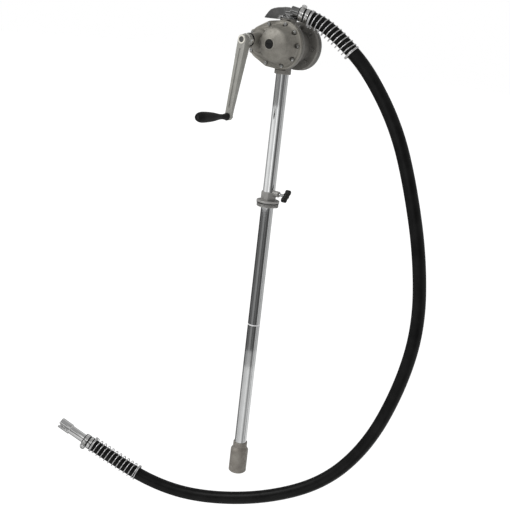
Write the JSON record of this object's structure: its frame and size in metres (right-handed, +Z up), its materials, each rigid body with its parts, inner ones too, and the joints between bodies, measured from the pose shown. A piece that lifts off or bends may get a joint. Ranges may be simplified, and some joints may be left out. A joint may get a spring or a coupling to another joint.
{
  "type": "drum barrel pump",
  "caption": "Rotary hand-crank barrel pump: geared head on a suction tube with a height-clamped bung adaptor, and a rubber discharge hose with spring guards.",
  "frame": {"origin": "middle of the bung thread, on the suction tube's axis", "axes": "+Z up along the suction tube, -Y towards the crank, +X towards the height clamp's knob"},
  "size_m": [0.9585, 0.4174, 1.4461],
  "materials": {
    "casting": "sand-cast, unpainted grey",
    "arm_casting": "smooth light casting",
    "chrome": "polished plating",
    "plated_steel": "bright zinc plating",
    "machined_steel": "machined",
    "pump_iron": "machined casting",
    "bronze": "sintered bronze",
    "black_rubber": "smooth, soft sheen",
    "gasket_sheet": "pressed sheet",
    "black_plastic": "moulded, matt",
    "pale_plastic": "moulded nylon"
  },
  "bodies": {
    "bung": {"bung_adaptor": "casting", "bung_gasket": "black_rubber", "tube_seal_ring": "black_rubber"},
    "pump": {"pump_body": "casting", "gear_cover": "casting", "gear_cover_gasket": "gasket_sheet", "gear_cover_bolts": "plated_steel", "rear_cover": "casting", "rear_cover_gasket": "gasket_sheet", "rear_cover_bolts": "plated_steel", "idler_pin": "machined_steel", "crank_front_bush": "bronze", "crank_rear_bush": "bronze", "crank_shaft_seal": "black_rubber", "rotor_front_bush": "bronze", "rotor_shaft_bush": "bronze", "rotor_shaft_seal": "black_rubber", "filler_plug": "black_plastic", "suction_tube_upper": "chrome", "suction_tube_lower": "chrome", "tube_joint": "chrome", "foot_valve_body": "casting", "foot_valve_seat": "bronze", "strainer_screen": "bronze", "strainer_ring": "machined_steel", "outlet_elbow": "chrome", "elbow_gasket": "gasket_sheet", "elbow_screws": "plated_steel", "hose": "black_rubber", "hose_clamp_upper": "plated_steel", "clamp_band_upper": "plated_steel", "spring_guard_upper": "plated_steel", "spring_guard_lower": "plated_steel", "hose_clamp_lower": "plated_steel", "clamp_band_lower": "plated_steel", "nozzle_tube": "chrome", "nozzle_tip": "chrome"},
    "crank": {"crank_shaft": "machined_steel", "input_pinion": "machined_steel", "crank_arm": "arm_casting", "crank_ring": "pale_plastic", "crank_set_screw": "chrome", "grip_spindle": "machined_steel", "spindle_nut": "plated_steel"},
    "handle_grip": {"grip": "black_plastic"},
    "rotor_group": {"drive_gear": "machined_steel", "rotor_shaft": "machined_steel", "rotor": "pump_iron", "gear_nut": "machined_steel"},
    "idler": {"idler_gear": "pump_iron", "idler_bush": "bronze"},
    "check_ball": {"valve_ball": "machined_steel"},
    "pad": {"clamp_pad": "plated_steel"},
    "clamp_screw": {"thumb_screw": "chrome", "thumb_knob": "black_plastic"}
  },
  "joints": [
    {"name": "height_slide", "type": "slide", "parent": "bung", "child": "pump", "axis": [0, 0, 1], "range_m": [-0.305, 0.68]},
    {"name": "crank_spin", "type": "hinge", "parent": "pump", "child": "crank", "pos_m": [-0.05985, 0, 0.42718], "axis": [0, -1, 0], "continuous": true},
    {"name": "grip_spin", "type": "hinge", "parent": "crank", "child": "handle_grip", "pos_m": [-0.08086, -0.17, 0.22729], "axis": [0, -1, 0], "continuous": true},
    {"name": "rotor_spin", "type": "hinge", "parent": "pump", "child": "rotor_group", "pos_m": [0, 0, 0.423], "axis": [0, -1, 0], "continuous": true},
    {"name": "idler_spin", "type": "hinge", "parent": "pump", "child": "idler", "pos_m": [0.0088, 0.04, 0.423], "axis": [0, -1, 0], "continuous": true},
    {"name": "ball_lift", "type": "slide", "parent": "pump", "child": "check_ball", "axis": [0, 0, 1], "range_m": [0, 0.0064]},
    {"name": "pad_slide", "type": "slide", "parent": "bung", "child": "pad", "axis": [1, 0, 0], "range_m": [0, 0.003]},
    {"name": "screw_spin", "type": "hinge", "parent": "pad", "child": "clamp_screw", "pos_m": [0.03, 0, 0.0335], "axis": [1, 0, 0], "range_deg": [0, 864]}
  ],
  "couplings": [
    {"joint": "rotor_spin", "follows": "crank_spin", "ratio": -0.5},
    {"joint": "idler_spin", "follows": "crank_spin", "ratio": -0.75},
    {"joint": "screw_spin", "follows": "pad_slide", "rad_per_m": 5026.5}
  ]
}
